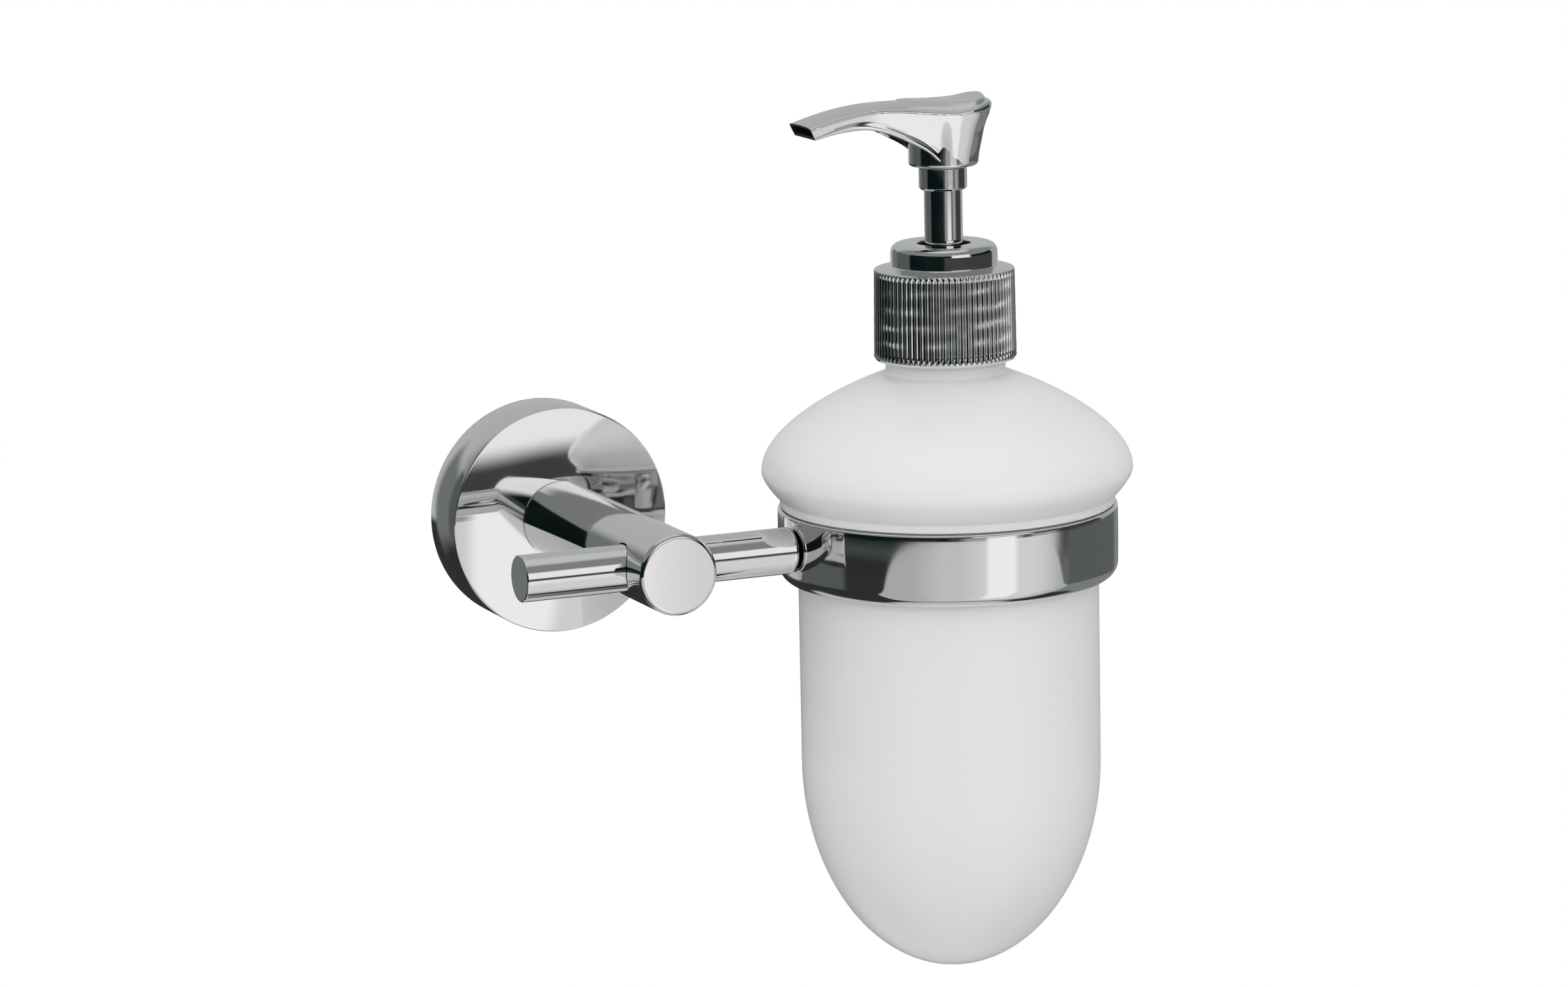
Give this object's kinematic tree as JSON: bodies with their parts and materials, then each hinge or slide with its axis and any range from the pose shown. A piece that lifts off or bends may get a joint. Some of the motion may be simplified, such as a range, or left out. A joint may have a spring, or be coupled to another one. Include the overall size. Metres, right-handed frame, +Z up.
{
  "type": "wall mounted soap dispenser",
  "caption": "Frosted glass lotion bottle with a domed shoulder and chrome press pump, hanging in a chrome ring on a crossbar, post and round wall rosette.",
  "frame": {"origin": "centre of the rosette's wall face, where the post's axis meets the wall", "axes": "+Z up, +Y into the wall, -Y out of the wall along the post, +X along the crossbar towards the bottle"},
  "size_m": [0.15, 0.1186, 0.2057],
  "materials": {
    "chrome": "polished chrome plate on brass",
    "chrome_on_plastic": "polished chrome plate on moulded plastic",
    "zinc_casting": "matt zinc casting",
    "steel_screws": "plain stainless steel",
    "steel_ball": "polished stainless steel",
    "steel_spring": "drawn stainless steel wire",
    "frosted_glass": "acid-frosted white glass, satin",
    "white_plastic": "moulded polypropylene, satin",
    "clear_plastic": "natural polyethylene tube, translucent",
    "dark_plastic": "black moulded plastic, satin",
    "seal_rubber": "black rubber, matt"
  },
  "bodies": {
    "holder": {"wall_plate": "zinc_casting", "rosette": "chrome", "rosette_grub_screw": "steel_screws", "post": "chrome", "post_screw": "steel_screws", "crossbar": "chrome", "crossbar_set_screw": "steel_screws", "holder_ring": "chrome", "ring_screw": "steel_screws"},
    "bottle": {"glass_body": "frosted_glass", "glass_dome": "frosted_glass"},
    "pump": {"neck_gasket": "white_plastic", "pump_housing": "white_plastic", "stem_guide": "dark_plastic", "stem_seal": "seal_rubber", "inlet_ball": "steel_ball", "dip_tube": "clear_plastic", "return_spring": "steel_spring"},
    "collar": {"collar": "chrome_on_plastic"},
    "plunger": {"stem_core": "white_plastic", "stem_sleeve": "chrome", "piston": "white_plastic"},
    "head": {"pump_head": "chrome_on_plastic", "ferrule": "chrome_on_plastic"}
  },
  "joints": [
    {"name": "bottle_lift", "type": "slide", "parent": "holder", "child": "bottle", "axis": [0, 0, 1], "range_m": [0, 0.112]},
    {"name": "pump_lift", "type": "slide", "parent": "bottle", "child": "pump", "axis": [0, 0, 1], "range_m": [0, 0.156]},
    {"name": "collar_turn", "type": "hinge", "parent": "pump", "child": "collar", "pos_m": [0.0735, -0.0755, 0.055], "axis": [0, 0, 1], "range_deg": [0, 540]},
    {"name": "pump_press", "type": "slide", "parent": "pump", "child": "plunger", "axis": [0, 0, 1], "range_m": [-0.012, 0], "stiffness_N_per_m": 600, "springref_m": 0.008, "deforming": ["return_spring"]},
    {"name": "head_swivel", "type": "hinge", "parent": "plunger", "child": "head", "pos_m": [0.0735, -0.0755, 0.09], "axis": [0, 0, 1], "continuous": true}
  ]
}
